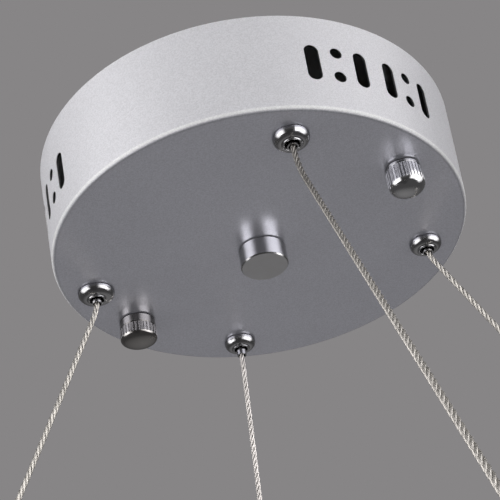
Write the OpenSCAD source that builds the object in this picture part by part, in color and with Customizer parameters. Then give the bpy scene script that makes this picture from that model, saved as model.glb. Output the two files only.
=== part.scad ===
// Round ceiling canopy of a suspended light, with four wire ropes held in releasable grips.
// Millimetres. The origin is the centre of the mounting plate's ceiling face and +Z is up.

/* [Canopy pan] */
// Diameter of the flat underside, over the outside of its edge
pan_d = 180; // [174:1:220]
// Diameter of the open rim at the ceiling
rim_d = 185; // [180:1:230]
// Height from the underside to the ceiling
pan_h = 47; // [45:1:70]
// Thickness of the sheet
sheet_t = 1; // [0.8:0.1:1.5]
// Outside radius of the edge between underside and wall
edge_r = 2; // [1.6:0.1:4]

/* [Vents] */
// Width of a slot
slot_w = 6; // [4:0.5:7]
// Length of a slot, end to end
slot_l = 17.5; // [12:0.5:22]
// Diameter of a round vent hole
vent_d = 5.2; // [3:0.2:6]
// Height between the two holes of a pair
vent_gap = 12; // [8:0.5:14]
// Height of each group's middle above the underside
vent_ups = [23.4, 21.4, 21.4]; // [18:0.1:26]
// Angle from a slot to the pair of holes next to it
vent_step_a = 6.6; // [6.2:0.1:7.5]
// Angle between the two patterns of a group
vent_pair_a = 22.2; // [21:0.1:28]
// Angle of the middle of the first, second and third group
vent_turns = [-19.4, -131.7, 104.4]; // [-180:0.1:180]

/* [Mounting plate] */
// Thickness of the plate
plate_t = 2; // [1.5:0.1:3]
// Gap between the plate and the pan's wall
plate_gap = 3; // [1:0.5:6]
// Distance between the middles of the two ceiling screw slots
screw_span = 80; // [60:1:100]
// Width of a ceiling screw slot
screw_slot_w = 5; // [4:0.5:7]
// Length of a ceiling screw slot, end to end
screw_slot_l = 20; // [10:1:24]
// Diameter of the hole for the supply cable
cable_hole_d = 26; // [16:1:30]

/* [Studs and knurled nuts] */
// Distance from the pan's edge to the middle of a stud
stud_in = 16.8; // [15:0.1:20]
// Diameter of a stud
stud_d = 4; // [3:0.5:5]
// Diameter of a stud's countersunk head
stud_head_d = 8; // [7:0.5:10]
// Length of stud that stands below the pan
stud_out = 10.5; // [8:0.5:11]
// Width across flats of a stud's lock nut
stud_nut_af = 7; // [7:0.5:9]
// Height of a stud's lock nut
stud_nut_h = 3.2; // [2.4:0.2:5]
// Diameter of each knurled band: right, left
knob_ds = [15, 16.8]; // [12:0.1:18]
// Height from the underside to each nut's dome: right, left
knob_hs = [8.8, 9.1]; // [8.5:0.1:14]
// Height of each domed end: right, left
dome_hs = [4, 3]; // [2.8:0.1:5]
// Height of the plain collar at each nut's foot: right, left
foot_hs = [0.8, 3.5]; // [0.6:0.1:4]
// Height of the groove above the foot
groove_h = 0.5; // [0.3:0.1:1]
// Depth of the groove and of the foot's step
groove_in = 0.5; // [0.3:0.1:1]
// Number of flutes
flutes = 32; // [20:1:36]
// Radius of a flute's cutter
flute_r = 0.5; // [0.3:0.05:0.6]
// Thickness of the washer under a knurled nut
knob_washer_t = 0.6; // [0.4:0.1:1]

/* [Centre cap] */
// Diameter of the cap
cap_d = 20.6; // [17:0.2:30]
// Height of the cap
cap_h = 8.5; // [7.5:0.5:14]
// Chamfer round the cap's end
cap_bevel = 0.5; // [0.3:0.1:1]
// Diameter of the threaded nipple
nipple_d = 10; // [8:0.5:10]
// Length of nipple inside the cap
nipple_in = 6; // [4:0.5:6.5]
// Length of nipple above the pan's floor
nipple_up = 7; // [6:0.5:12]
// Thickness of the washer under the cap
cap_washer_t = 0.5; // [0.3:0.1:1]

/* [Rope grips] */
// Distance from the pan's edge to each grip: near, right, far, left
grip_in = [16.2, 16.2, 15.4, 14.5]; // [14:0.1:18]
// Angle of each grip round the canopy
grip_turns = [-43.3, 45.7, 136.2, -155.2];
// How far each plunger stands out of the underside
plunger_out = [5.2, 5.3, 7.8, 6.2]; // [5.2:0.1:7.8]
// Diameter of each domed collar
collar_ds = [14.8, 14.3, 14.8, 16.1]; // [13.5:0.1:18]
// Height of each collar's dome
collar_hs = [3.3, 3.1, 3.6, 3.4]; // [2.8:0.1:6]
// Height of the straight side at each collar's foot
collar_side = 0.3; // [0.3:0.1:1]
// Height of the raised lip round the mouth
lip_h = 0.7; // [0.3:0.1:1]
// Width of the raised lip round the mouth
lip_w = 0.9; // [0.6:0.1:1.2]
// Diameter of the collar's mouth
mouth_d = 6.2; // [5.6:0.1:7.5]
// Thickness of the gasket under the collar
gasket_t = 0.3; // [0.2:0.1:0.6]
// Outside diameter of the threaded grip body
body_d = 10; // [10:0.5:11]
// Length of the grip body
body_l = 22; // [21:0.5:26]
// Depth of the body's thread in the collar
body_in = 1.4; // [1:0.1:1.6]
// Height above the underside where the body's cone starts
cone_at = 0; // [-0.2:0.1:0.5]
// Height of the cone
cone_h = 7.5; // [6:0.5:8]
// Diameter of the body's upper chamber
chamber_d = 8; // [7.6:0.1:8.4]
// Height of the end plug
plug_h = 3; // [2:0.5:4]
// Outside diameter of the plunger
plunger_d = 4.6; // [4.4:0.1:5]
// Length of the plunger
plunger_l = 16; // [15.5:0.5:17]
// Height of the plunger's flange
flange_h = 1.2; // [0.8:0.1:2]
// Depth of the wide bore at the plunger's tip
tip_depth = 3.6; // [3.2:0.1:4]
// Wall of the plunger at its tip
tip_wall = 0.5; // [0.4:0.05:0.6]
// Diameter of a gripping ball
ball_d = 2.2; // [2:0.1:2.3]
// Travel of the plunger
press = 2; // [1:0.5:2]
// Outside diameter of the spring
spring_d = 7; // [6.4:0.1:7.4]
// Inside diameter of the spring
spring_bore = 5.2; // [4.8:0.1:5.6]
// Diameter of the insulating bush's flange
bush_d = 16; // [15:0.5:18]
// Thickness of the bush's flange
bush_t = 0.8; // [0.5:0.1:1.2]
// Thickness of the bush in the pan's hole
bush_wall = 1; // [0.6:0.1:1.4]
// Thickness of the ring tags and of the washers that match them
tag_t = 0.5; // [0.4:0.1:0.8]
// Outside diameter of the ring tags and washers
tag_d = 14.6; // [13:0.2:16]
// Width across flats of the lock nuts on grips and nipple
lock_af = 14; // [13:0.5:14]
// Height of the lock nuts
lock_h = 4; // [3:0.5:5]

/* [Ropes] */
// Diameter of a wire rope
rope_d = 2.4; // [2:0.1:2.5]
// Angle between a rope and the vertical
rope_lean = 27; // [15:1:30]
// Direction in which each rope leans: near, right, far, left
rope_turns = [-40.7, 39.7, 128.9, -158.1]; // [-180:0.1:180]
// Length of each rope from its plunger to its ferrule
rope_runs = [224, 60, 80, 104]; // [60:1:240]
// Radius of the bend at each rope's start, at the middle of the rope
rope_bends = [50, 20, 20, 24]; // [20:1:60]
// Length of rope above a grip
tail_up = 12; // [6:1:16]
// Diameter of the crimped ferrule
ferrule_d = 5.2; // [4.5:0.1:6.5]
// Length of the ferrule
ferrule_l = 11; // [8:0.5:14]
// Radius of the eye, to the middle of the rope
eye_r = 7; // [6:0.5:9]

/* [Driver and wiring] */
// Length of the driver's case as a share of the room between the grips beside it
driver_share = 0.965; // [0.93:0.005:0.98]
// Width of the driver's case
driver_w = 28; // [26:1:30]
// Height of the driver's case without its lid
driver_h = 20; // [18:1:24]
// Thickness of the case's walls and lid
driver_wall = 1.6; // [1.2:0.1:2]
// Distance from the middle of the canopy to the driver's near side
driver_away = 16; // [14:1:17]
// Thickness of the adhesive pads
pad_t = 1; // [0.5:0.1:1.5]
// Length of the terminal block
block_l = 34; // [33:1:38]
// Width of the terminal block
block_w = 20; // [18:1:22]
// Height of the terminal block
block_h = 14; // [13:1:16]
// Distance of the terminal block's middle from the middle of the canopy
block_away = 32; // [30:1:36]
// How far the terminal block sits to one side
block_side = 22; // [20:1:24]
// Distance between the terminals
pole_pitch = 10; // [9.5:0.5:10.5]
// Outside diameter of a lead
lead_d = 1.8; // [1.4:0.1:1.8]

/* [Hidden] */
$fn = 64;

// Overrun of every cut
over = 0.5;
// Radial clearance of every thread and of the plungers' guides
fit = 0.05;
// Radial clearance of the holes that screws and ropes pass through
loose = 0.25;
// Clearance between a ball and what it bears on
touch = 0.01;

// Values of the pan
pan_r = pan_d/2;
rim_r = rim_d/2;
edge_at = min(pan_r, rim_r);
wall_out = max(pan_r, rim_r);
floor_z = sheet_t - pan_h;
edge_x = pan_r - edge_r;
lean_a = atan((rim_r - pan_r)/(pan_h - edge_r));
edge_in_r = edge_r - sheet_t;

// Values of the plate, the studs and the nuts
plate_r = rim_r - sheet_t/cos(lean_a) - plate_t*tan(lean_a) - plate_gap;
stud_r = stud_d/2;
stud_reach = edge_at - stud_in;
stud_turns = [0, 180];
stud_washer_t = stud_d*0.15;
stud_gap = 0.7;
stud_washer_d = stud_d*2;
dome_steps = 14;
earth_reach = stud_reach - stud_nut_af*1.6;
earth_turn = -90;
earth_d = 4;
earth_nut_af = 7;
earth_nut_h = 3.2;
earth_tag_t = 0.8;
earth_tag_d = 9;
earth_head_d = 7;

// Values of the grips, in each grip's own frame, where 0 is the pan's underside
rope_r = rope_d/2;
body_r = body_d/2;
chamber_r = chamber_d/2;
plunger_r = plunger_d/2;
throat_r = plunger_r + fit;
body_low = -gasket_t - body_in;
body_top = body_low + body_l;
plug_low = body_top - plug_h;
cone_a = atan((chamber_r - throat_r)/cone_h);
ball_r = ball_d/2;
ball_at_r = rope_r + ball_r + touch;
ball_z = cone_at + (ball_at_r + (ball_r + touch)/cos(cone_a) - throat_r)/tan(cone_a);
tag_low = sheet_t + bush_t;
lock_low = tag_low + tag_t;
tip_bore_r = plunger_r - tip_wall;
guide_r = rope_r + fit*2;
plunger_mid_out = 6.5;
window_low = ball_z + plunger_mid_out - ball_r - 1.3*ball_r;
window_high = ball_z + plunger_mid_out + ball_r + 1.3*ball_r;
window_w = ball_d + fit*2;
flange_r = chamber_r - loose;
ball_turns = [30, 150, 270];

// Values of the ropes
rope_sides = 8;
bend_steps = 4;
run_steps = 13;

// Values of the driver, the terminal block and the leads
lead_r = lead_d/2;
grip_reach = [for (v = grip_in) edge_at - v];
room_x = min(grip_reach[1]*cos(grip_turns[1]), -grip_reach[2]*cos(grip_turns[2])) - bush_d/2;
driver_l = 2*room_x*driver_share;
driver_low = floor_z + pad_t;
driver_top = driver_low + driver_h;
boss_r = 2.6;
boss_in = boss_r*0.8;
boss_hole_r = 1.1;
lid_screw_l = 10;
lid_head_r = 2.2;
lid_head_h = 1.5;
board_t = 1.6;
board_up = 4;
board_gap = 1;
socket_l = 8;
socket_h = 9;
lead_up = 10;
output_side = driver_away + driver_w*2/7;
transformer_l = driver_l*0.24;
transformer_x = driver_l*0.08;
transformer_w = 16;
transformer_h = 11;
capacitor_d = 8;
capacitor_h = 12;
capacitor_x = transformer_x + transformer_l/2 + capacitor_d/2 + board_gap;
insert_d = 5.4;
insert_bore = 3.2;
insert_l = 16;
pole_up = 6;
screw_d = 2.6;
screw_well_d = 3.8;
screw_head_d = 3.6;
screw_head_h = 1.6;
screw_gap = 8;
lead_in = 4;
barrel_r = 1.5;
barrel_l = 6;
barrel_at = 9;
tag_aims = [-75, -105];
lead_sides = 8;
lead_steps = 3;
block_low = floor_z + pad_t;
pole_z = block_low + pole_up;
lead_z = driver_low + lead_up;
block_y = -block_away;
input_x = [for (k = [0, 1]) -driver_l/2 + driver_wall + (k + 1.5)*socket_l + (k + 1)*board_gap];
lead_step = lead_d*10/3;
pole_x = [for (k = [-1:1]) k*pole_pitch - block_side];

// Points of an arc
function arc(c, r, a0, a1, n) = [for (k = [0:n]) let (a = a0 + (a1 - a0)*k/n) c + r*[cos(a), sin(a)]];

function unit(v) = v/norm(v);

// Points of one ring of a tube, square to its direction t
function ring(p, t, r, n, side) =
  let (u = unit(cross(t, side)), v = cross(u, t))
  [for (k = [0:n - 1]) p + r*cos(360*k/n)*u + r*sin(360*k/n)*v];

// A tube swept along the points, square to the directions given with them
module tube(pts, dirs, r, n, side) {
  m = len(pts);
  rings = [for (k = [0:m - 1]) each ring(pts[k], dirs[k], r, n, side)];
  walls = [for (k = [0:m - 2], j = [0:n - 1]) let (a = k*n + j, b = k*n + (j + 1)%n) each
    [[a, b, b + n], [a, b + n, a + n]]];
  ends = [[for (j = [n - 1:-1:0]) j], [for (j = [0:n - 1]) (m - 1)*n + j]];
  polyhedron(points = rings, faces = concat(walls, ends), convexity = 4);
}

// A smooth line through the points, and its directions
function mix(a, b, c, d, t) =
  (2*b + (c - a)*t + (2*a - 5*b + 4*c - d)*t*t + (3*b - a - 3*c + d)*t*t*t)/2;
function pick(p, k) = p[max(0, min(len(p) - 1, k))];
function smooth(p, n) = concat(
  [for (k = [0:len(p) - 2], j = [0:n - 1]) mix(pick(p, k - 1), p[k], p[k + 1], pick(p, k + 2), j/n)],
  [p[len(p) - 1]]);
function directions(p) = [for (k = [0:len(p) - 1]) unit(pick(p, k + 1) - pick(p, k - 1))];

module lead(p) {
  line = smooth(p, lead_steps);
  tube(line, directions(line), lead_r, lead_sides, unit([0.3, 0.2, 1]));
}

// Places
module at_stud(k) rotate([0, 0, stud_turns[k]]) translate([stud_reach, 0, 0]) children();
module at_grip(k) rotate([0, 0, grip_turns[k]]) translate([grip_reach[k], 0, -pan_h]) children();
module at_grips() for (k = [0:3]) at_grip(k) children();
function grip_xy(k) = grip_reach[k]*[cos(grip_turns[k]), sin(grip_turns[k]), 0];

module ring_plate(d, bore, t) {
  difference() {
    cylinder(d = d, h = t);
    translate([0, 0, -over]) cylinder(d = bore, h = t + 2*over);
  }
}

module hex_nut(af, bore, h) {
  difference() {
    cylinder(d = af/cos(30), h = h, $fn = 6);
    translate([0, 0, -over]) cylinder(d = bore, h = h + 2*over);
  }
}

// Canopy pan
module vent_slot() {
  square([slot_l - slot_w, slot_w], center = true);
  for (s = [-1, 1]) translate([s*(slot_l - slot_w)/2, 0]) circle(d = slot_w);
}

module vent_pattern() {
  for (s = [-1, 1]) rotate([0, 0, s*vent_step_a]) through_wall() vent_slot();
  through_wall() for (s = [-1, 1]) translate([s*vent_gap/2, 0]) circle(d = vent_d);
}

module through_wall() {
  translate([edge_at*0.8, 0, 0]) rotate([0, 90, 0]) linear_extrude(wall_out - edge_at*0.8 + over) children();
}

module pan_body() {
  outer = arc([edge_x, edge_r - pan_h], edge_r, -90, -lean_a, 8);
  inner = arc([edge_x, edge_r - pan_h], edge_in_r, -lean_a, -90, 6);
  rotate_extrude($fn = 128) polygon(concat(
    [[0, -pan_h]], outer, [[rim_r, 0], [rim_r - sheet_t/cos(lean_a), 0]], inner, [[0, floor_z]]));
}

module canopy_pan() {
  color([0.76, 0.76, 0.78]) difference() {
    pan_body();
    for (g = [0:2], s = [-1, 1]) translate([0, 0, vent_ups[g] - pan_h])
      rotate([0, 0, vent_turns[g] + s*vent_pair_a/2]) vent_pattern();
    for (k = [0, 1]) at_stud(k) translate([0, 0, -pan_h - over])
      cylinder(r = stud_r + loose, h = sheet_t + 2*over);
    at_grips() translate([0, 0, -over]) cylinder(r = body_r + bush_wall, h = sheet_t + 2*over);
    translate([0, 0, -pan_h - over]) cylinder(d = nipple_d + 2*fit, h = sheet_t + 2*over);
  }
}

// Mounting plate and studs
module screw_slot() {
  linear_extrude(plate_t + 2*over) {
    square([screw_slot_l - screw_slot_w, screw_slot_w], center = true);
    for (s = [-1, 1]) translate([s*(screw_slot_l - screw_slot_w)/2, 0]) circle(d = screw_slot_w);
  }
}

module mounting_plate() {
  color([0.72, 0.73, 0.75]) difference() {
    translate([0, 0, -plate_t]) cylinder(r = plate_r, h = plate_t, $fn = 128);
    for (s = [-1, 1]) translate([s*screw_span/2, 0, -plate_t - over]) screw_slot();
    translate([0, 0, -plate_t - over]) cylinder(d = cable_hole_d, h = plate_t + 2*over);
    for (k = [0, 1]) at_stud(k) {
      rotate_extrude() polygon([
        [0, over], [stud_head_d/2, over], [stud_head_d/2, 0], [stud_r, -plate_t],
        [stud_r, -plate_t - over], [0, -plate_t - over]]);
    }
    rotate([0, 0, earth_turn]) translate([earth_reach, 0, 0]) rotate_extrude() polygon([
      [0, over], [earth_head_d/2, over], [earth_head_d/2, 0], [earth_d/2, -plate_t],
      [earth_d/2, -plate_t - over], [0, -plate_t - over]]);
  }
}

module stud_screws() {
  color([0.74, 0.74, 0.76]) for (k = [0, 1]) at_stud(k) rotate_extrude() polygon([
    [0, 0], [stud_head_d/2, 0], [stud_r, -plate_t], [stud_r, -pan_h - stud_out], [0, -pan_h - stud_out]]);
}

module stud_washers() {
  color([0.7, 0.7, 0.72]) for (k = [0, 1]) at_stud(k) translate([0, 0, -plate_t - stud_washer_t])
    ring_plate(stud_washer_d, stud_d, stud_washer_t);
}

module stud_lock_nuts() {
  color([0.7, 0.7, 0.72]) for (k = [0, 1]) at_stud(k)
    translate([0, 0, -plate_t - stud_washer_t - stud_nut_h]) hex_nut(stud_nut_af, stud_d, stud_nut_h);
}

// Knurled cap nuts and their washers
module knob_washer(k) {
  color([0.6, 0.6, 0.62]) at_stud(k) translate([0, 0, -pan_h - knob_washer_t])
    ring_plate(knob_ds[k] - 2*groove_in, stud_d + 2*fit, knob_washer_t);
}

module knurled_nut(k) {
  r = knob_ds[k]/2;
  foot = foot_hs[k];
  rise = dome_hs[k];
  low = knob_hs[k] - knob_washer_t;
  dome = [for (j = [0:dome_steps]) let (a = 90*j/dome_steps) [r*cos(a), low + rise*sin(a)]];
  color([0.78, 0.78, 0.8]) at_stud(k) translate([0, 0, -pan_h - knob_washer_t]) mirror([0, 0, 1])
    difference() {
      rotate_extrude() polygon(concat([
        [0, 0], [r - groove_in/2, 0], [r - groove_in/2, foot], [r - groove_in, foot],
        [r - groove_in, foot + groove_h], [r, foot + groove_h]], dome));
      for (j = [0:flutes - 1]) rotate([0, 0, 360*j/flutes]) translate([r + flute_r*0.3, 0, foot + groove_h/2])
        cylinder(r = flute_r, h = low - foot - groove_h/2 + rise*0.12, $fn = 24);
      translate([0, 0, -over]) cylinder(d = stud_d + 2*fit, h = stud_out - knob_washer_t + stud_gap + over);
    }
}

// Centre cap, its nipple and its fixings
module cap_washer() {
  color([0.2, 0.2, 0.21]) translate([0, 0, -pan_h - cap_washer_t])
    ring_plate(cap_d - 2*cap_bevel, nipple_d + 2*fit, cap_washer_t);
}

module centre_cap() {
  r = cap_d/2;
  color([0.82, 0.82, 0.84]) translate([0, 0, -pan_h - cap_washer_t]) mirror([0, 0, 1]) difference() {
    rotate_extrude($fn = 96) polygon([
      [0, 0], [r, 0], [r, cap_h - cap_bevel], [r - cap_bevel, cap_h], [0, cap_h]]);
    translate([0, 0, -over]) cylinder(d = nipple_d + 2*fit, h = nipple_in + cap_bevel + over);
  }
}

module cap_nipple() {
  color([0.75, 0.68, 0.45]) translate([0, 0, -pan_h - cap_washer_t - nipple_in])
    cylinder(d = nipple_d, h = nipple_in + cap_washer_t + sheet_t + nipple_up);
}

module nipple_washer() {
  color([0.7, 0.7, 0.72]) translate([0, 0, floor_z]) ring_plate(tag_d, nipple_d, tag_t);
}

module nipple_lock_nut() {
  color([0.7, 0.7, 0.72]) translate([0, 0, floor_z + tag_t]) hex_nut(lock_af, nipple_d, lock_h);
}

// Rope grips
module grip_gaskets() {
  color([0.15, 0.15, 0.15]) for (k = [0:3]) at_grip(k) translate([0, 0, -gasket_t])
    ring_plate(collar_ds[k] - 2*gasket_t, body_d, gasket_t);
}

module collar_shape(k) {
  r = collar_ds[k]/2;
  m = mouth_d/2;
  h = collar_hs[k];
  foot = gasket_t/2;
  top = m + lip_w*1.5;
  side = [for (j = [0:12]) let (a = 90*j/12) [top + (r - top)*cos(a), collar_side + (h - collar_side)*sin(a)]];
  lip = [for (j = [0:6]) let (a = 180*j/6) [m + lip_w/2*(1 + cos(a)), h + lip_h - lip_w/2*(1 - sin(a))]];
  polygon(concat([[body_r, 0], [r - foot, 0], [r, foot]], side, lip, [[m, body_in], [body_r, body_in]]));
}

module grip_collars() {
  color([0.8, 0.8, 0.82]) for (k = [0:3]) at_grip(k) translate([0, 0, -gasket_t]) mirror([0, 0, 1])
    rotate_extrude() collar_shape(k);
}

module grip_bodies() {
  color([0.75, 0.68, 0.45]) at_grips() rotate_extrude() polygon([
    [throat_r, body_low], [body_r, body_low], [body_r, body_top], [chamber_r, body_top],
    [chamber_r, cone_at + cone_h], [throat_r, cone_at]]);
}

module grip_end_plugs() {
  color([0.7, 0.7, 0.72]) at_grips() translate([0, 0, plug_low])
    ring_plate(chamber_d, 2*guide_r, plug_h);
}

module grip_bushes() {
  color([0.9, 0.9, 0.88]) at_grips() rotate_extrude() polygon([
    [body_r, 0], [body_r + bush_wall, 0], [body_r + bush_wall, sheet_t], [bush_d/2, sheet_t],
    [bush_d/2, tag_low], [body_r, tag_low]]);
}

module grip_washers() {
  color([0.7, 0.7, 0.72]) for (k = [0, 3]) at_grip(k) translate([0, 0, tag_low])
    ring_plate(tag_d, body_d, tag_t);
}

module ring_tag(k) {
  translate(grip_xy(k) + [0, 0, tag_low - pan_h]) rotate([0, 0, tag_aims[k - 1]]) {
    difference() {
      union() {
        cylinder(d = tag_d, h = tag_t);
        translate([0, -barrel_r, 0]) cube([barrel_at, 2*barrel_r, tag_t]);
      }
      translate([0, 0, -over]) cylinder(d = body_d, h = tag_t + 2*over);
    }
    translate([barrel_at, 0, barrel_r]) rotate([0, 90, 0]) ring_plate(2*barrel_r, lead_d, barrel_l);
  }
}

module grip_ring_tags() color([0.7, 0.7, 0.72]) for (k = [1, 2]) ring_tag(k);

module grip_lock_nuts() {
  color([0.7, 0.7, 0.72]) at_grips() translate([0, 0, lock_low]) hex_nut(lock_af, body_d, lock_h);
}

// Plunger of one grip, drawn from its tip upwards
module plunger(k) {
  guide_at = tip_depth;
  color([0.8, 0.8, 0.82]) at_grip(k) translate([0, 0, -plunger_out[k]]) difference() {
    union() {
      cylinder(r = plunger_r, h = plunger_l);
      translate([0, 0, plunger_l - flange_h]) cylinder(r = flange_r, h = flange_h);
    }
    translate([0, 0, -over]) cylinder(r = tip_bore_r, h = tip_depth + over);
    translate([0, 0, guide_at - over]) cylinder(r = guide_r, h = plunger_l);
    translate([0, 0, window_low]) linear_extrude(window_high - window_low) {
      circle(r = window_w*0.64);
      for (a = ball_turns) rotate([0, 0, a]) translate([0, -window_w/2])
        square([plunger_r + over, window_w]);
    }
  }
}

module balls(k) {
  color([0.85, 0.85, 0.86]) at_grip(k) for (a = ball_turns) rotate([0, 0, a])
    translate([ball_at_r, 0, ball_z]) sphere(r = ball_r - touch, $fn = 32);
}

module spring(k) {
  low = plunger_l - plunger_out[k];
  color([0.6, 0.6, 0.62]) at_grip(k) translate([0, 0, low]) ring_plate(spring_d, spring_bore, plug_low - low);
}

// Wire ropes
function rope_start(k) = grip_xy(k) + [0, 0, tip_depth - plunger_out[k] - pan_h];
function lean_out(k) = [cos(rope_turns[k]), sin(rope_turns[k]), 0];
function rope_dir(k, a) = sin(a)*lean_out(k) - [0, 0, cos(a)];
function rope_bend(k, a) = rope_start(k) + rope_bends[k]*((1 - cos(a))*lean_out(k) - [0, 0, sin(a)]);
function run_l(k) = rope_runs[k] - rope_bends[k]*rope_lean*PI/180;
function rope_end(k) = rope_bend(k, rope_lean) + run_l(k)*rope_dir(k, rope_lean);

module rope(k) {
  bend = [for (j = [0:bend_steps]) rope_lean*j/bend_steps];
  pts = concat(
    [for (a = bend) rope_bend(k, a)],
    [for (j = [1:run_steps]) rope_bend(k, rope_lean) + rope_dir(k, rope_lean)*run_l(k)*j/run_steps]);
  dirs = concat([for (a = bend) rope_dir(k, a)], [for (j = [1:run_steps]) rope_dir(k, rope_lean)]);
  color([0.7, 0.68, 0.66]) tube(pts, dirs, rope_r, rope_sides, [-sin(rope_turns[k]), cos(rope_turns[k]), 0]);
}

module rope_tails() {
  color([0.7, 0.68, 0.66]) for (k = [0:3]) at_grip(k) translate([0, 0, tip_depth - plunger_out[k]])
    cylinder(r = rope_r, h = body_top + tail_up - tip_depth + plunger_out[k]);
}

module at_rope_end(k) {
  translate(rope_end(k)) rotate([0, 0, rope_turns[k]]) rotate([0, -rope_lean, 0]) children();
}

module rope_ferrules() {
  color([0.78, 0.78, 0.8]) for (k = [0:3]) at_rope_end(k) translate([0, 0, -ferrule_l])
    cylinder(d = ferrule_d, h = ferrule_l);
}

module rope_eyes() {
  color([0.7, 0.68, 0.66]) for (k = [0:3]) at_rope_end(k) difference() {
    translate([0, 0, -ferrule_l - eye_r + rope_r]) rotate([90, 0, 0])
      rotate_extrude() translate([eye_r, 0]) circle(r = rope_r, $fn = 24);
    translate([0, 0, -ferrule_l]) cylinder(d = ferrule_d, h = ferrule_l);
  }
}

// Driver
module at_driver() translate([0, driver_away + driver_w/2, driver_low]) children();

module boss_places(z) {
  for (s = [-1, 1]) translate([s*(driver_l/2 - driver_wall - boss_in), driver_w/2 - driver_wall - boss_in, z])
    children();
}

module lead_hole(l) rotate([0, 90, 0]) cylinder(d = lead_d + fit, h = l, $fn = 32);

module driver_case() {
  inner_l = driver_l - 2*driver_wall;
  inner_w = driver_w - 2*driver_wall;
  color([0.92, 0.92, 0.9]) at_driver() difference() {
    union() {
      difference() {
        translate([-driver_l/2, -driver_w/2, 0]) cube([driver_l, driver_w, driver_h]);
        translate([-inner_l/2, -inner_w/2, driver_wall]) cube([inner_l, inner_w, driver_h]);
      }
      boss_places(0) cylinder(r = boss_r, h = driver_h);
    }
    boss_places(driver_h - lid_screw_l) cylinder(r = boss_hole_r, h = lid_screw_l + over);
    for (x = input_x) translate([x, -driver_w/2 - over, lead_up]) rotate([0, 0, 90])
      lead_hole(driver_wall + 2*over);
    for (s = [-1, 1]) translate([s*driver_l/2, output_side - driver_away - driver_w/2, lead_up])
      translate([-driver_wall - over, 0, 0]) lead_hole(2*driver_wall + 2*over);
  }
}

module driver_lid() {
  color([0.92, 0.92, 0.9]) at_driver() difference() {
    translate([-driver_l/2, -driver_w/2, driver_h]) cube([driver_l, driver_w, driver_wall]);
    boss_places(driver_h - over) cylinder(r = boss_hole_r, h = driver_wall + 2*over);
  }
}

module driver_lid_screws() {
  color([0.3, 0.3, 0.32]) at_driver() boss_places(driver_h) {
    translate([0, 0, -lid_screw_l]) cylinder(r = boss_hole_r, h = lid_screw_l + driver_wall);
    translate([0, 0, driver_wall]) cylinder(r = lid_head_r, h = lid_head_h);
  }
}

module driver_pad() {
  color([0.25, 0.25, 0.26]) at_driver() translate([-driver_l*0.4, -driver_w*0.4, -pad_t])
    cube([driver_l*0.8, driver_w*0.8, pad_t]);
}

module driver_board() {
  l = driver_l - 2*driver_wall - 2*board_gap;
  w = driver_w - 2*driver_wall;
  color([0.1, 0.4, 0.2]) at_driver() difference() {
    translate([-l/2, -w/2, board_up - board_t]) cube([l, w, board_t]);
    boss_places(0) cylinder(r = boss_r + board_gap/2, h = board_up + over);
  }
}

module driver_transformer() {
  color([0.85, 0.7, 0.2]) at_driver() translate([transformer_x - transformer_l/2, -transformer_w/2, board_up])
    cube([transformer_l, transformer_w, transformer_h]);
}

module driver_capacitors() {
  color([0.15, 0.2, 0.45]) at_driver() for (s = [-1, 1]) translate([s*capacitor_x, driver_w*0.15, board_up])
    cylinder(d = capacitor_d, h = capacitor_h);
}

// Sockets inside the case that take the leads' ends
module driver_terminals() {
  wall_y = -driver_w/2 + driver_wall;
  color([0.2, 0.5, 0.3]) at_driver() {
    for (x = input_x) translate([x - socket_l/2, wall_y, board_up]) socket();
    for (s = [-1, 1]) translate([s*(driver_l/2 - driver_wall - socket_l/2) - socket_l/2,
      output_side - driver_away - driver_w/2 - socket_l/2, board_up]) socket();
  }
}

module socket() cube([socket_l, socket_l, socket_h]);

// Terminal block
module at_block() translate([-block_side, block_y, block_low]) children();

module each_pole() for (k = [-1:1]) translate([k*pole_pitch, 0, 0]) children();

module along_block(d, l) translate([0, l/2, pole_up]) rotate([90, 0, 0]) cylinder(d = d, h = l);

module terminal_block() {
  color([0.93, 0.93, 0.9]) at_block() difference() {
    translate([-block_l/2, -block_w/2, 0]) cube([block_l, block_w, block_h]);
    each_pole() {
      along_block(insert_d, block_w + 2*over);
      for (s = [-1, 1]) translate([0, s*screw_gap/2, pole_up]) cylinder(d = screw_well_d, h = block_h);
    }
  }
}

module terminal_inserts() {
  color([0.78, 0.65, 0.3]) at_block() each_pole() difference() {
    along_block(insert_d, insert_l);
    along_block(insert_bore, insert_l + 2*over);
    for (s = [-1, 1]) translate([0, s*screw_gap/2, pole_up]) cylinder(d = screw_d, h = insert_d);
  }
}

module terminal_screws() {
  color([0.75, 0.75, 0.77]) at_block() each_pole() for (s = [-1, 1]) translate([0, s*screw_gap/2, 0]) {
    translate([0, 0, pole_up + lead_r]) cylinder(d = screw_d, h = insert_d/2 + screw_head_h - lead_r);
    translate([0, 0, pole_up + insert_d/2 + fit]) cylinder(d = screw_head_d, h = screw_head_h);
  }
}

module terminal_pad() {
  color([0.25, 0.25, 0.26]) at_block() translate([-block_l*0.4, -block_w*0.4, -pad_t])
    cube([block_l*0.8, block_w*0.8, pad_t]);
}

// Earth point under the mounting plate
module at_earth() rotate([0, 0, earth_turn]) translate([earth_reach, 0, 0]) children();

module earth_screw() {
  low = plate_t + earth_tag_t + earth_nut_h*1.5;
  color([0.75, 0.75, 0.77]) at_earth() rotate_extrude() polygon([
    [0, 0], [earth_head_d/2, 0], [earth_d/2, -plate_t], [earth_d/2, -low], [0, -low]]);
}

module earth_nut() {
  color([0.75, 0.75, 0.77]) at_earth() translate([0, 0, -plate_t - earth_tag_t - earth_nut_h])
    hex_nut(earth_nut_af, earth_d, earth_nut_h);
}

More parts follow.
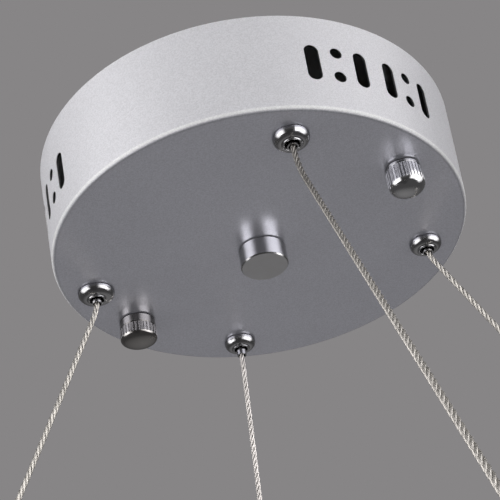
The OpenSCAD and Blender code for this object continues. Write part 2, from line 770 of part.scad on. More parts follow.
module earth_tag() {
  color([0.7, 0.7, 0.72]) at_earth() rotate([0, 0, 180]) translate([0, 0, -plate_t - earth_tag_t]) {
    difference() {
      union() {
        cylinder(d = earth_tag_d, h = earth_tag_t);
        translate([0, -barrel_r, 0]) cube([earth_tag_d/2 + barrel_r, 2*barrel_r, earth_tag_t]);
      }
      translate([0, 0, -over]) cylinder(d = earth_d, h = earth_tag_t + 2*over);
    }
    translate([earth_tag_d/2 + barrel_r, 0, earth_tag_t]) mirror([0, 0, 1])
      ring_plate(2*barrel_r, lead_d, barrel_l);
  }
}

// Leads
function pole_mouth(k, s) = [pole_x[k], block_y + s*block_w/2, pole_z];
function input_mouth(k) = [input_x[k], driver_away, lead_z];

module input_lead(k) {
  a = pole_mouth(k, 1);
  b = input_mouth(k);
  d = lead_step*[0, 1.3, 0];
  sag = lead_step*[-0.5, 0, -0.3];
  lead([a - [0, lead_in, 0], a, a + d*0.4, a + d + sag/3, (a + b)/2 + sag*1.2 - lead_step*[0, 0, 0.3], b - d + sag/2,
    b - d*0.4, b, b + [0, driver_wall - fit, 0]]);
}

module lead_live() color([0.4, 0.2, 0.1]) input_lead(0);
module lead_neutral() color([0.1, 0.25, 0.7]) input_lead(1);

module lead_earth() {
  a = pole_mouth(2, -1);
  b = [0, earth_tag_d/2 + barrel_r - earth_reach, -plate_t - barrel_l];
  y = min(a[1] - lead_step, b[1] + lead_step/3);
  up = b[2] - a[2];
  color([0.3, 0.65, 0.2]) lead([
    a + [0, lead_in, 0], a, a - [0, lead_step, 0], [a[0]*0.75, y, a[2] + up*0.29], [a[0]*0.2, y, a[2] + up*0.7],
    b - [0, 0, lead_step*0.7], b, b + [0, 0, barrel_l*0.6]]);
}

module output_lead(j) {
  k = j + 1;
  s = j == 0 ? 1 : -1;
  aim = [cos(tag_aims[j]), sin(tag_aims[j]), 0];
  from = grip_xy(k) + aim*(barrel_at + barrel_l) + [0, 0, tag_low - pan_h + barrel_r];
  to = [s*driver_l/2, output_side, lead_z];
  out = [s*lead_step, 0, 0];
  lead([from - aim*barrel_l*0.6, from, from + aim*lead_step*0.4, from + aim*lead_step*0.9 + [0, 0, lead_step*0.1],
    (from + to)/2 + out - lead_step*[0, 0.6, 0.1], to + out*1.1 - [0, 0, lead_step*0.15], to + out*0.4, to,
    to - [s*(driver_wall - fit), 0, 0]]);
}

module output_leads() color([0.75, 0.1, 0.1]) for (j = [0, 1]) output_lead(j);

canopy_pan();
mounting_plate();
stud_screws();
stud_washers();
stud_lock_nuts();
knob_washer(0);  // knob_washer_right
knob_washer(1);  // knob_washer_left
knurled_nut(0);  // knurled_nut_right
knurled_nut(1);  // knurled_nut_left
cap_washer();
centre_cap();
cap_nipple();
nipple_washer();
nipple_lock_nut();
grip_gaskets();
grip_collars();
grip_bodies();
grip_end_plugs();
grip_bushes();
grip_washers();
grip_ring_tags();
grip_lock_nuts();
plunger(0);  // plunger_near
plunger(1);  // plunger_right
plunger(2);  // plunger_far
plunger(3);  // plunger_left
balls(0);  // balls_near
balls(1);  // balls_right
balls(2);  // balls_far
balls(3);  // balls_left
spring(0);  // spring_near
spring(1);  // spring_right
spring(2);  // spring_far
spring(3);  // spring_left
rope_tails();
rope(0);  // rope_near
rope(1);  // rope_right
rope(2);  // rope_far
rope(3);  // rope_left
rope_ferrules();
rope_eyes();
driver_case();
driver_lid();
driver_lid_screws();
driver_pad();
driver_board();
driver_transformer();
driver_capacitors();
driver_terminals();
terminal_block();
terminal_inserts();
terminal_screws();
terminal_pad();
earth_screw();
earth_nut();
earth_tag();
lead_live();
lead_neutral();
lead_earth();
output_leads();
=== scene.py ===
"""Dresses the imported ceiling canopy: its paint, plated fittings, wire ropes, wiring and studio.

Everything is in metres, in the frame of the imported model. Sizes are named in millimetres
where they repeat a size of the part's source, and MM turns them into metres.
"""

import logging
import math
from collections.abc import Iterator
from dataclasses import dataclass
from enum import Enum

import bpy
from mathutils import Matrix, Vector


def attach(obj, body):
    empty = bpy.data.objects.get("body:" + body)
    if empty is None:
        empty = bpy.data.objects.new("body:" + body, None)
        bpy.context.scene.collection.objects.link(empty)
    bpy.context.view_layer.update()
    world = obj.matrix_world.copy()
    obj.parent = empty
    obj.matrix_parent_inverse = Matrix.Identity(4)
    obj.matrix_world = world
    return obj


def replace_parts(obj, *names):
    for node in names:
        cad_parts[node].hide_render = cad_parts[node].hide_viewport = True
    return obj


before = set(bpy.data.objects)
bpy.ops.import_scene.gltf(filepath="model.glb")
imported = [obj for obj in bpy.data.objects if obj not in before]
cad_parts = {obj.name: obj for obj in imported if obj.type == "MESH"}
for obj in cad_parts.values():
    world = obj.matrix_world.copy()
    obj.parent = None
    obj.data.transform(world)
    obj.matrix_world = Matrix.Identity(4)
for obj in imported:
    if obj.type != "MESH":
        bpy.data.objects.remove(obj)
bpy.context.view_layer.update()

MM = 0.001
STRANDS = "strands"
ROOM_TINT = (1.0, 0.985, 0.99)
GREY_DUST = (0.3, 0.29, 0.27)
PALE_DUST = (0.34, 0.32, 0.29)
# Near black: painted shade in a recess.
RECESS_SHADE = (0.008, 0.008, 0.009)
Colour = tuple[float, float, float]
Faces = list[tuple[int, ...]]
Feed = object
Node = bpy.types.Node
Outputs = bpy.types.bpy_prop_collection
Piece = bpy.types.Object
Socket = bpy.types.NodeSocket
Sockets = tuple[Socket, ...]
Line = list[Vector]
Spot = tuple[Vector, Vector, Vector]
Row = tuple[float, ...]
log = logging.getLogger("canopy")


class Side(Enum):
    """The four ropes and grips, by where the camera sees them."""

    NEAR = 0
    RIGHT = 1
    FAR = 2
    LEFT = 3

    @property
    def word(self) -> str:
        """The side as the CAD nodes' names spell it."""
        return self.name.lower()


class Hand(Enum):
    """The hand of a rope's lay."""

    RIGHT = 1
    LEFT = -1


class Sheet:
    """A node tree, with short calls that add nodes and join them."""

    def __init__(self, tree: bpy.types.NodeTree) -> None:
        """Keeps the tree that the calls work on, and empties it."""
        self.tree = tree
        tree.nodes.clear()

    def feed(self, socket: Socket, value: Feed) -> None:
        """Joins a socket to another, or sets its own value.

        Args:
            socket: The input that is fed.
            value: An output socket, a number or a tuple of numbers.
        """
        if isinstance(value, Socket):
            self.tree.links.new(value, socket)
        else:
            socket.default_value = value

    def add(self, kind: str, inputs: dict[str | int, Feed] | None = None, **settings: object) -> Node:
        """Adds a shader node.

        Args:
            kind: Blender's name of the node type, after ShaderNode.
            inputs: What feeds each input, by the input's name or place.
            **settings: The node's own properties.

        Returns:
            The new node.
        """
        node = self.tree.nodes.new(f"ShaderNode{kind}")
        for name, value in settings.items():
            setattr(node, name, value)
        for name, value in (inputs or {}).items():
            self.feed(node.inputs[name], value)
        return node

    def maths(self, operation: str, first: Feed, second: Feed = 0.0) -> Socket:
        """Works out one number from two, by Blender's name of the operation."""
        return self.add("Math", {0: first, 1: second}, operation=operation).outputs[0]

    def times(self, first: Feed, second: Feed) -> Socket:
        """The product of two numbers."""
        return self.maths("MULTIPLY", first, second)

    def plus(self, first: Feed, second: Feed) -> Socket:
        """The sum of two numbers."""
        return self.maths("ADD", first, second)

    def vector(self, operation: str, first: Feed, second: Feed | None = None) -> Socket:
        """Works out a vector, a length or a dot product.

        Args:
            operation: Blender's name of the operation, such as NORMALIZE.
            first: The first vector.
            second: The second vector if there is one, or the factor of SCALE.

        Returns:
            The result's socket.
        """
        node = self.add("VectorMath", {0: first}, operation=operation)
        if second is not None:
            self.feed(node.inputs["Scale" if operation == "SCALE" else 1], second)
        return node.outputs["Value" if operation in ("LENGTH", "DOT_PRODUCT") else "Vector"]

    def level(self, place: Feed) -> Socket:
        """A vector with its height set to nought."""
        return self.vector("MULTIPLY", place, (1.0, 1.0, 0.0))

    def part(self, place: Feed, axis: str) -> Socket:
        """A vector's X, Y or Z."""
        return self.add("SeparateXYZ", {"Vector": place}).outputs[axis]

    def spread(self, value: Feed, low: float, high: float, start: Feed = 0.0, end: Feed = 1.0) -> Socket:
        """Maps low..high onto start..end, and keeps to those ends.

        Args:
            value: The number that is mapped.
            low: The value that gives start.
            high: The value that gives end.
            start: The result at low.
            end: The result at high.

        Returns:
            The result's socket.
        """
        ends = {"Value": value, "From Min": low, "From Max": high, "To Min": start, "To Max": end}
        return self.add("MapRange", ends, clamp=True).outputs["Result"]

    def mix(self, share: Feed, first: Feed, second: Feed) -> Socket:
        """Mixes two numbers by the share of the second."""
        return self.add("Mix", {0: share, 2: first, 3: second}, data_type="FLOAT").outputs[0]

    def tint(self, share: Feed, first: Feed, second: Feed) -> Socket:
        """Mixes two colours by the share of the second."""
        return self.add("Mix", {0: share, 6: rgba(first), 7: rgba(second)}, data_type="RGBA").outputs[2]

    def noise(self, place: Feed, scale: Feed, detail: float) -> Socket:
        """A noise from 0 to 1, by its bumps to the metre and its finer layers."""
        return self.add("TexNoise", {"Vector": place, "Scale": scale, "Detail": detail}).outputs[0]

    def mapped(self, place: Feed, ways: dict[str, Feed]) -> Socket:
        """A place after Blender's Location, Rotation or Scale, as ways says."""
        return self.add("Mapping", {"Vector": place, **ways}).outputs[0]

    def place(self) -> Socket:
        """The object's own coordinates, which are the frame's, in metres."""
        return self.add("TexCoord").outputs["Object"]

    def normal(self) -> Socket:
        """The direction that the surface faces."""
        return self.add("NewGeometry").outputs["Normal"]

    def strands(self) -> Socket:
        """A rope's own map: U counts its lays along it, and V its strands round it."""
        return self.add("UVMap", uv_map=STRANDS).outputs[0]


def rgba(colour: Feed) -> Feed:
    """Adds the fourth number that Blender's colour sockets want."""
    return (*colour, 1.0) if isinstance(colour, tuple) and len(colour) == 3 else colour


def aim(turn: float, rise: float = 0.0) -> Vector:
    """The direction of length 1 at an azimuth and a height in degrees."""
    a, e = math.radians(turn), math.radians(rise)
    return Vector((math.cos(a) * math.cos(e), math.sin(a) * math.cos(e), math.sin(e)))


class Effect:
    """A surface effect as a shader node group, built once and placed in every material that uses it."""

    title: str = ""
    takes: tuple[str, ...] = ()
    gives: tuple[str, ...] = ()

    def draw(self, sheet: Sheet, take: Outputs) -> Sockets:
        """Draws the group's nodes.

        Args:
            sheet: The group's tree.
            take: The group's inputs, by name.

        Returns:
            What the group gives, in order.
        """
        raise NotImplementedError

    def tree(self) -> bpy.types.NodeTree:
        """The group's tree, built on first use.

        Returns:
            The node group.
        """
        known = bpy.data.node_groups.get(self.title)
        if known is not None:
            return known
        made = bpy.data.node_groups.new(self.title, "ShaderNodeTree")
        for name in self.takes:
            kind = "NodeSocketVector" if name == "Place" else "NodeSocketFloat"
            made.interface.new_socket(name, in_out="INPUT", socket_type=kind)
        for name in self.gives:
            made.interface.new_socket(name, in_out="OUTPUT", socket_type="NodeSocketFloat")
        sheet = Sheet(made)
        end = made.nodes.new("NodeGroupOutput")
        given = self.draw(sheet, made.nodes.new("NodeGroupInput").outputs)
        for name, value in zip(self.gives, given):
            sheet.feed(end.inputs[name], value)
        return made

    def on(self, sheet: Sheet, inputs: dict[str, Feed]) -> Outputs:
        """Places the group in a material, and gives its outputs by name."""
        return sheet.add("Group", inputs, node_tree=self.tree()).outputs


class FlakeGrain(Effect):
    """The sparkle of metal flakes in paint: a random shade and height for each flake."""

    title = "flake_grain"
    takes = ("Place", "Flakes", "Cloud")
    gives = ("Sparkle", "Cloudiness", "Height")

    def draw(self, sheet: Sheet, take: Outputs) -> Sockets:
        """Draws cells of random shade, a fine noise over them and a slow cloud.

        Args:
            sheet: The group's tree.
            take: Its inputs.

        Returns:
            The sparkle, the cloud and the height.
        """
        cells = sheet.add("TexVoronoi", {"Vector": take["Place"], "Scale": take["Flakes"]})
        shade = sheet.add("SeparateColor", {"Color": cells.outputs["Color"]}).outputs[0]
        fine = sheet.noise(take["Place"], take["Flakes"], 2.0)
        cloud = sheet.noise(take["Place"], take["Cloud"], 4.0)
        return shade, sheet.spread(cloud, 0.35, 0.65), sheet.plus(sheet.times(shade, 0.5), fine)


class Handling(Effect):
    """Faint smears and fine scratches left by hands and cloths."""

    title = "handling"
    takes = ("Place", "Smears", "Scratches")
    gives = ("Smear", "Scratch")

    def draw(self, sheet: Sheet, take: Outputs) -> Sockets:
        """Draws soft patches, and thin lines where a stretched noise crosses its middle.

        Args:
            sheet: The group's tree.
            take: Its inputs.

        Returns:
            The smears and the scratches.
        """
        place = take["Place"]
        soft = sheet.add(
            "TexNoise", {"Vector": place, "Scale": take["Smears"], "Detail": 5.0, "Distortion": 0.6}
        ).outputs[0]
        turned = sheet.mapped(place, {"Rotation": (0.4, 0.9, 0.6), "Scale": (0.06, 1.0, 1.0)})
        lines = sheet.noise(turned, take["Scratches"], 1.0)
        off = sheet.maths("ABSOLUTE", sheet.maths("SUBTRACT", lines, 0.5))
        return sheet.spread(soft, 0.4, 0.7), sheet.spread(off, 0.0, 0.012, 1.0, 0.0)


class TurnedMarks(Effect):
    """The fine rings that a lathe leaves on a face, round an upright axis."""

    title = "turned_marks"
    takes = ("Place", "Rings")
    gives = ("Ring",)

    def draw(self, sheet: Sheet, take: Outputs) -> Sockets:
        """Draws a noise of the distance from the axis alone.

        Args:
            sheet: The group's tree.
            take: Its inputs.

        Returns:
            The rings.
        """
        line = sheet.times(sheet.vector("LENGTH", sheet.level(take["Place"])), take["Rings"])
        ring = sheet.add("TexNoise", noise_dimensions="1D", inputs={"W": line, "Scale": 1.0, "Detail": 2.0})
        return (ring.outputs[0],)


class Dust(Effect):
    """Dust that has settled where a surface looks up."""

    title = "dust"
    takes = ("Place", "Patches")
    gives = ("Film",)

    def draw(self, sheet: Sheet, take: Outputs) -> Sockets:
        """Draws patches of film where the normal points up.

        Args:
            sheet: The group's tree.
            take: Its inputs.

        Returns:
            The film.
        """
        patch = sheet.spread(sheet.noise(take["Place"], take["Patches"], 6.0), 0.35, 0.75)
        return (sheet.times(sheet.spread(sheet.part(sheet.normal(), "Z"), 0.3, 0.95), patch),)


class WireLay(Effect):
    """The wires of a rope's strands, drawn on the rope's own map."""

    title = "wire_lay"
    takes = ("Wires", "Turns")
    gives = ("Wire", "Valley")

    def draw(self, sheet: Sheet, take: Outputs) -> Sockets:
        """Draws round-topped wires that lie across the strands' own twist, and the valley between strands.

        Args:
            sheet: The group's tree.
            take: Its inputs.

        Returns:
            The wires and the valleys.
        """
        along, round_it = (sheet.part(sheet.strands(), axis) for axis in "XY")
        phase = sheet.plus(sheet.times(along, take["Turns"]), sheet.times(round_it, take["Wires"]))
        wave = sheet.maths("ABSOLUTE", sheet.maths("SINE", sheet.times(phase, math.pi)))
        edge = sheet.maths("ABSOLUTE", sheet.maths("SUBTRACT", sheet.maths("FRACT", round_it), 0.5))
        return sheet.maths("POWER", wave, 0.5), sheet.spread(edge, 0.3, 0.5)


@dataclass
class Coat:
    """What a finish feeds its shader."""

    colour: Feed
    rough: Feed
    height: Feed
    strength: float
    depth: float = 0.1 * MM
    metal: Feed = 0.0


@dataclass(frozen=True)
class Finish:
    """What every finish has: its name, the record's slot for it and its colour."""

    name: str
    slot: str
    colour: Colour
    roughness: float = 0.4

    def paint(self, sheet: Sheet) -> Coat:
        """Draws the finish's own nodes.

        Args:
            sheet: The material's tree.

        Returns:
            What feeds the shader.
        """
        raise NotImplementedError

    def material(self) -> bpy.types.Material:
        """The finish as a material, made on first use.

        Returns:
            The material.
        """
        known = bpy.data.materials.get(self.name)
        if known is not None:
            return known
        made = bpy.data.materials.new(self.name)
        made.use_nodes = True
        sheet = Sheet(made.node_tree)
        coat = self.paint(sheet)
        bump = sheet.add("Bump", {"Height": coat.height, "Strength": coat.strength, "Distance": coat.depth})
        values = {"Base Color": coat.colour, "Metallic": coat.metal, "Roughness": coat.rough}
        shader = sheet.add("BsdfPrincipled", {**values, "Normal": bump.outputs[0]})
        sheet.add("OutputMaterial", {"Surface": shader.outputs[0]})
        return made

    def dress(self, *names: str) -> None:
        """Gives the finish to CAD nodes or to pieces.

        Args:
            *names: The objects' names.
        """
        for name in names:
            piece = bpy.data.objects[name]
            piece.data.materials.clear()
            piece.data.materials.append(self.material())


@dataclass(frozen=True)
class SatinPaint(Finish):
    """Silver paint with fine flakes on sheet steel, smooth underneath and satin on the wall, with painted
    shade inside and on the vents' cut faces, and a painted highlight along the bottom fillet and the vents'
    outer lips.
    """

    under: Colour = (0.62, 0.625, 0.69)
    # Painted shade: a dark colour for the pan's inside, seen through the vents.
    inside: Colour = (0.1, 0.1, 0.105)
    # Painted highlight: near white along the bottom fillet and on the vents' outer lips.
    edge: Colour = (0.93, 0.93, 0.94)
    # Painted shade: near black on the vents' cut faces.
    cut: Colour = (0.05, 0.05, 0.055)
    sparkle: float = 0.1
    metal: float = 0.03
    under_roughness: float = 0.29
    under_metal: float = 0.7
    pan_h: float = 47.0 * MM
    under_r: float = 90.0 * MM
    rim_r: float = 92.5 * MM

    def paint(self, sheet: Sheet) -> Coat:
        """Draws the flakes, the clouds and the smears, painted shade inside the pan and on the vents' cut
        faces, and painted highlights on the bottom fillet and the vents' outer lips.

        Args:
            sheet: The material's tree.

        Returns:
            What feeds the shader.
        """
        place, normal = sheet.place(), sheet.normal()
        flakes = FlakeGrain().on(sheet, {"Place": place, "Flakes": 2600.0, "Cloud": 30.0})
        hands = Handling().on(sheet, {"Place": place, "Smears": 60.0, "Scratches": 500.0})
        dust = Dust().on(sheet, {"Place": place, "Patches": 120.0})
        outwards, height = sheet.level(place), sheet.part(place, "Z")
        facing = sheet.vector("DOT_PRODUCT", sheet.vector("NORMALIZE", outwards), normal)
        up = sheet.part(normal, "Z")
        inner = sheet.maths("MAXIMUM", sheet.spread(facing, -0.4, -0.7), sheet.spread(up, 0.4, 0.7))
        under = sheet.spread(up, -0.72, -0.96)
        # Painted highlight: a mask along the bottom fillet, where the colour goes near white.
        edge = sheet.times(sheet.spread(up, -0.12, -0.35), sheet.spread(up, -0.82, -0.62))
        wall_r = sheet.spread(height, -self.pan_h, 0.0, self.under_r, self.rim_r)
        depth = sheet.maths("SUBTRACT", wall_r, sheet.vector("LENGTH", outwards))
        sideways = sheet.spread(sheet.maths("ABSOLUTE", facing), 0.9, 0.7)
        on_wall = sheet.spread(height, -self.pan_h * 0.92, -self.pan_h * 0.9)
        below_rim = sheet.spread(height, -0.5 * MM, -1.0 * MM)
        # Painted shade on the vents' cut faces, with a painted highlight on their outer lips.
        cut = sheet.times(sideways, sheet.times(on_wall, below_rim))
        lip_glint = sheet.spread(depth, 0.2 * MM, 0.35 * MM, 1.0, 0.0)
        shade = sheet.spread(flakes["Sparkle"], 0.0, 1.0, 1.0 - self.sparkle, 1.0 + self.sparkle)
        cloud = sheet.spread(flakes["Cloudiness"], 0.0, 1.0, 0.985, 1.015)
        skin = sheet.tint(edge, sheet.tint(under, self.colour, self.under), self.edge)
        outer = sheet.vector("SCALE", skin, sheet.times(shade, cloud))
        # Painted shade: the inside is dark, with real dust over it.
        inside_shade_and_dust = sheet.tint(dust["Film"], self.inside, GREY_DUST)
        vent_shade_and_glint = sheet.tint(lip_glint, self.cut, self.edge)
        smooth = sheet.spread(under, 0.0, 1.0, self.roughness, self.under_roughness)
        smeared = sheet.plus(smooth, sheet.times(hands["Smear"], 0.03))
        return Coat(
            colour=sheet.tint(cut, sheet.tint(inner, outer, inside_shade_and_dust), vent_shade_and_glint),
            metal=sheet.spread(under, 0.0, 1.0, self.metal, self.under_metal),
            rough=sheet.plus(smeared, sheet.times(inner, 0.2)),
            height=sheet.times(flakes["Height"], sheet.spread(under, 0.0, 1.0, 1.0, 0.3)),
            strength=0.06,
            depth=0.2 * MM,
        )


@dataclass(frozen=True)
class PlatedMetal(Finish):
    """Metal with a polished or satin plating, smeared and finely scratched, with turned faces."""

    smear: float = 0.04
    scratch: float = 0.05
    face_roughness: float = 0.1
    centre: Colour = (0.0, 0.0, 0.0)
    grain: float = 0.02
    stain: Colour = (0.5, 0.48, 0.45)
    # Below this height the colour goes near black: painted shade in a recess.
    shade_below: float | None = None

    def paint(self, sheet: Sheet) -> Coat:
        """Draws the smears, scratches, turned rings on faces across the axis and a little dust, and painted
        shade below a height where one is set.

        Args:
            sheet: The material's tree.

        Returns:
            What feeds the shader.
        """
        place = sheet.place()
        moved = sheet.mapped(place, {"Location": tuple(-v for v in self.centre)})
        hands = Handling().on(sheet, {"Place": place, "Smears": 220.0, "Scratches": 1500.0})
        rings = TurnedMarks().on(sheet, {"Place": moved, "Rings": 9000.0})
        dust = Dust().on(sheet, {"Place": place, "Patches": 300.0})
        face = sheet.spread(sheet.maths("ABSOLUTE", sheet.part(sheet.normal(), "Z")), 0.96, 0.995)
        worn_and_shaded = sheet.tint(sheet.times(hands["Smear"], 0.12), self.colour, self.stain)
        if self.shade_below is not None:
            # Painted shade: near black below the set height.
            recess_shade = sheet.spread(sheet.part(place, "Z"), self.shade_below, self.shade_below - 0.3 * MM)
            worn_and_shaded = sheet.tint(recess_shade, worn_and_shaded, RECESS_SHADE)
        dusty = sheet.times(dust["Film"], 0.5)
        side = sheet.spread(hands["Smear"], 0.0, 1.0, self.roughness, self.roughness + self.smear)
        marked = sheet.plus(side, sheet.times(hands["Scratch"], self.scratch))
        ringed = sheet.spread(rings["Ring"], 0.3, 0.7, self.face_roughness * 0.85, self.face_roughness * 1.15)
        return Coat(
            colour=sheet.tint(dusty, worn_and_shaded, GREY_DUST),
            metal=sheet.spread(dusty, 0.0, 1.0, 1.0, 0.2),
            rough=sheet.plus(sheet.mix(face, marked, ringed), sheet.times(dusty, 0.4)),
            height=sheet.plus(sheet.times(rings["Ring"], face), hands["Scratch"]),
            strength=self.grain,
        )


@dataclass(frozen=True)
class Moulding(Finish):
    """Moulded plastic or rubber with a fine skin, mould flow and dust."""

    skin: float = 700.0
    depth: float = 0.15
    second: Colour | None = None
    stripe: float = 0.0

    def paint(self, sheet: Sheet) -> Coat:
        """Draws the flow, the skin, an optional second colour and the dust.

        Args:
            sheet: The material's tree.

        Returns:
            What feeds the shader.
        """
        place = sheet.place()
        dust = Dust().on(sheet, {"Place": place, "Patches": 200.0})
        flow = sheet.noise(sheet.mapped(place, {"Scale": (1.0, 1.0, 0.4)}), 80.0, 4.0)
        darker = tuple(v * 0.86 for v in self.colour)
        base = sheet.tint(sheet.spread(flow, 0.3, 0.7), self.colour, darker)
        if self.second is not None:
            turned = sheet.mapped(place, {"Rotation": (0.5, 0.3, 0.8)})
            wave = sheet.add("TexWave", {"Vector": turned, "Scale": self.stripe, "Distortion": 0.3})
            base = sheet.tint(sheet.spread(wave.outputs["Fac"], 0.45, 0.55), base, self.second)
        return Coat(
            colour=sheet.tint(sheet.times(dust["Film"], 0.35), base, PALE_DUST),
            rough=sheet.spread(flow, 0.3, 0.7, self.roughness, min(1.0, self.roughness + 0.12)),
            height=sheet.noise(place, self.skin, 3.0),
            strength=self.depth,
            depth=0.2 * MM,
        )


@dataclass(frozen=True)
class CircuitBoard(Finish):
    """Green solder mask over copper tracks, with a scatter of pads."""

    track: Colour = (0.07, 0.34, 0.15)
    tin: Colour = (0.6, 0.6, 0.58)

    def paint(self, sheet: Sheet) -> Coat:
        """Draws tracks and pads.

        Args:
            sheet: The material's tree.

        Returns:
            What feeds the shader.
        """
        place = sheet.place()
        cells = sheet.add("TexVoronoi", {"Vector": place, "Scale": 260.0}, distance="MANHATTAN")
        tracks = sheet.spread(cells.outputs["Distance"], 0.5, 0.56)
        dots = sheet.add("TexVoronoi", {"Vector": place, "Scale": 330.0})
        pads = sheet.spread(dots.outputs["Distance"], 0.2, 0.16)
        return Coat(
            colour=sheet.tint(pads, sheet.tint(tracks, self.colour, self.track), self.tin),
            metal=pads,
            rough=sheet.spread(pads, 0.0, 1.0, self.roughness, 0.3),
            height=tracks,
            strength=0.2,
        )


@dataclass(frozen=True)
class RopeWire(Finish):
    """Bright stranded wire rope, with painted shade in the valleys between its strands and wires, where it is
    also less metallic.
    """

    # Painted shade: the colour of the valleys between strands and wires.
    valley: Colour = (0.1, 0.095, 0.09)
    metal: float = 0.8
    wires: float = 5.0
    turns: float = 2.0
    first_shade: float = 1.0
    fade_lays: float = 12.0

    def paint(self, sheet: Sheet) -> Coat:
        """Draws the wires, painted shade in the valleys between strands, painted shade along the first lays,
        and the uneven shine.

        Args:
            sheet: The material's tree.

        Returns:
            What feeds the shader.
        """
        lay = WireLay().on(sheet, {"Wires": self.wires, "Turns": self.turns})
        hands = Handling().on(sheet, {"Place": sheet.place(), "Smears": 160.0, "Scratches": 1200.0})
        dull = tuple(v * 0.8 for v in self.colour)
        bright = sheet.tint(hands["Smear"], self.colour, dull)
        # Painted shade between the wires and in the valleys between strands.
        lined = sheet.tint(sheet.spread(lay["Wire"], 0.2, 0.6, 0.5, 0.0), bright, self.valley)
        # Painted shade: darker over the first lays from the rope's start, up to full brightness at fade_lays
        # lays.
        shade = sheet.spread(sheet.part(sheet.strands(), "X"), 1.0, self.fade_lays, self.first_shade, 1.0)
        return Coat(
            colour=sheet.vector("SCALE", sheet.tint(lay["Valley"], lined, self.valley), shade),
            metal=sheet.spread(lay["Valley"], 0.0, 1.0, self.metal, 0.4),
            rough=sheet.spread(hands["Smear"], 0.0, 1.0, self.roughness, self.roughness + 0.1),
            height=lay["Wire"],
            strength=0.5,
        )


SILVER_PAINT = SatinPaint("silver_paint_satin", "silver_paint", (0.74, 0.735, 0.772), 0.42)
CHROME = PlatedMetal("chrome_polished", "bright_chrome", (0.42, 0.42, 0.43), 0.15)
CAP_CHROME = PlatedMetal(
    "chrome_cap", "bright_chrome", (0.62, 0.62, 0.63), 0.13, face_roughness=0.33, grain=0.05
)
NUT_CHROME_RIGHT = PlatedMetal(
    "chrome_nut_right", "bright_chrome", (0.57, 0.57, 0.58), 0.1, centre=(73.2 * MM, 0.0, 0.0)
)
# Painted shade: the left nut's chrome is a darker copy of the right nut's.
NUT_CHROME_LEFT_SHADED = PlatedMetal(
    "chrome_nut_left_shaded", "bright_chrome", (0.33, 0.32, 0.31), 0.12, centre=(-73.2 * MM, 0.0, 0.0)
)
ZINC = PlatedMetal(
    "zinc_satin", "zinc_plate", (0.62, 0.63, 0.65), 0.32, smear=0.12, face_roughness=0.34, grain=0.12,
    stain=(0.55, 0.52, 0.42),
)
# The grip bodies go near black below the pan's underside: painted shade inside the collars' recesses.
GRIP_BRASS = PlatedMetal(
    "brass_grip_body", "brass_part", (0.72, 0.56, 0.28), 0.4, smear=0.15, face_roughness=0.4, grain=0.1,
    shade_below=-47 * MM,
)
STEEL = PlatedMetal("steel_ground", "steel_parts", (0.6, 0.6, 0.62), 0.2, face_roughness=0.22)
BRASS = PlatedMetal(
    "brass_machined", "brass_part", (0.72, 0.56, 0.28), 0.25, smear=0.15, face_roughness=0.28, grain=0.1
)
RUBBER = Moulding("rubber_black", "black_rubber", (0.03, 0.03, 0.032), 0.7, depth=0.3)
NYLON = Moulding("nylon_white", "white_nylon", (0.82, 0.82, 0.79), 0.45)
WHITE_PLASTIC = Moulding("plastic_white", "white_plastic", (0.84, 0.84, 0.82), 0.5, skin=1100.0, depth=0.25)
GREEN_PLASTIC = Moulding("plastic_green", "green_plastic", (0.08, 0.3, 0.14), 0.45)
TAPE = Moulding("tape_yellow", "yellow_tape", (0.76, 0.56, 0.09), 0.3, second=(0.66, 0.46, 0.06), stripe=180.0)
BLUE_SLEEVE = Moulding("sleeve_blue", "blue_sleeve", (0.05, 0.13, 0.46), 0.35, depth=0.05)
BROWN_SLEEVE = Moulding("sleeve_brown", "brown_sleeve", (0.2, 0.09, 0.045), 0.35, depth=0.05)
EARTH_SLEEVE = Moulding(
    "sleeve_green_yellow", "green_sleeve", (0.08, 0.36, 0.08), 0.35, depth=0.05, second=(0.75, 0.65, 0.08),
    stripe=90.0,
)
RED_SLEEVE = Moulding("sleeve_red", "red_sleeve", (0.5, 0.035, 0.03), 0.35, depth=0.05)
BOARD = CircuitBoard("board_green", "green_board", (0.03, 0.2, 0.09), 0.35)
ROPE = RopeWire("rope_wire", "wire_rope", (0.7, 0.67, 0.62), 0.32)
# The far rope wears a paler copy of the wire, painted light; the near rope a copy with paler valleys that is
# painted darker near its grip.
ROPE_LIT = RopeWire("rope_wire_lit", "wire_rope", (0.84, 0.8, 0.77), 0.38, valley=(0.2, 0.19, 0.18))
ROPE_SHADED = RopeWire(
    "rope_wire_shaded", "wire_rope", (0.66, 0.63, 0.59), 0.4, valley=(0.3, 0.285, 0.265), first_shade=0.42
)


def shown(name: str, data: bpy.types.ID) -> Piece:
    """Makes an object and puts it in the scene.

    Args:
        name: The object's name.
        data: Its mesh, light or camera.

    Returns:
        The new object.
    """
    made = bpy.data.objects.new(name, data)
    bpy.context.scene.collection.objects.link(made)
    return made


def piece_of(name: str, points: Line, faces: Faces) -> Piece:
    """Makes a smooth-shaded mesh piece that rides on the canopy.

    Args:
        name: The piece's name.
        points: Its corners, in metres.
        faces: Its faces, as indices into the points.

    Returns:
        The new object.
    """
    mesh = bpy.data.meshes.new(name)
    mesh.from_pydata([tuple(p) for p in points], [], faces)
    mesh.polygons.foreach_set("use_smooth", [True] * len(mesh.polygons))
    mesh.update()
    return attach(shown(name, mesh), "root")


def quads(rows: int, count: int) -> Faces:
    """The faces between rows of points that each close on themselves.

    Args:
        rows: How many rows there are.
        count: How many points a row has.

    Returns:
        The faces, as indices into the points.
    """
    return [
        (r * count + s, r * count + (s + 1) % count, (r + 1) * count + (s + 1) % count, (r + 1) * count + s)
        for r in range(rows - 1)
        for s in range(count)
    ]


def tube(rows: int, count: int) -> Faces:
    """The same faces, with a flat one at either end."""
    last = (rows - 1) * count
    return [*quads(rows, count), tuple(range(count - 1, -1, -1)), tuple(range(last, last + count))]


